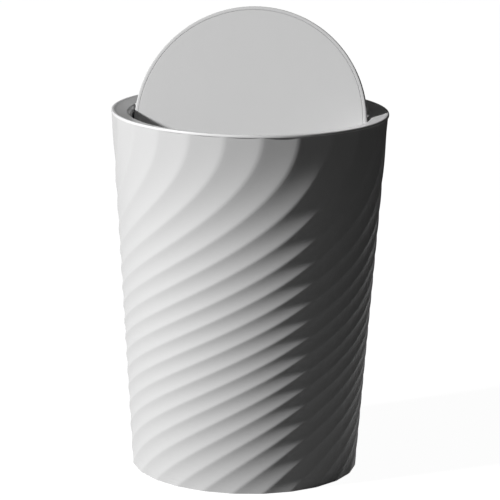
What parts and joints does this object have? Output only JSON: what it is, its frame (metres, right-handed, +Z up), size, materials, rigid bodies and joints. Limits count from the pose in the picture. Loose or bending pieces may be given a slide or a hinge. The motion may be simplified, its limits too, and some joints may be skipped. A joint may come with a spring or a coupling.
{
  "type": "swing-lid trash can",
  "caption": "Round tapered waste bin with sweeping twisted flutes, a push-in lid ring and a disc flap that swings on side pivots.",
  "frame": {"origin": "centre of the footprint on the floor", "axes": "+Z up, X along the flap's pivot axis, -Y towards the front, so the raised half of the flap is on the +Y side"},
  "size_m": [0.25, 0.25, 0.4174],
  "materials": {
    "bin_plastic": "satin",
    "lid_plastic": "semi-gloss",
    "pin_plastic": "satin",
    "washer_rubber": "matte"
  },
  "bodies": {
    "bin": {"bin_body": "bin_plastic"},
    "lid": {"lid_ring": "lid_plastic"},
    "flap": {"flap_shell": "lid_plastic", "flap_panel": "lid_plastic", "pivot_pin_left": "pin_plastic", "pivot_pin_right": "pin_plastic", "friction_washer_left": "washer_rubber", "friction_washer_right": "washer_rubber"}
  },
  "joints": [
    {"name": "lid_lift", "type": "slide", "parent": "bin", "child": "lid", "axis": [0, 0, 1], "range_m": [0, 0.14]},
    {"name": "flap_swing", "type": "hinge", "parent": "lid", "child": "flap", "pos_m": [0, 0, 0.3178], "axis": [1, 0, 0], "range_deg": [-146.5, 9.5]}
  ]
}
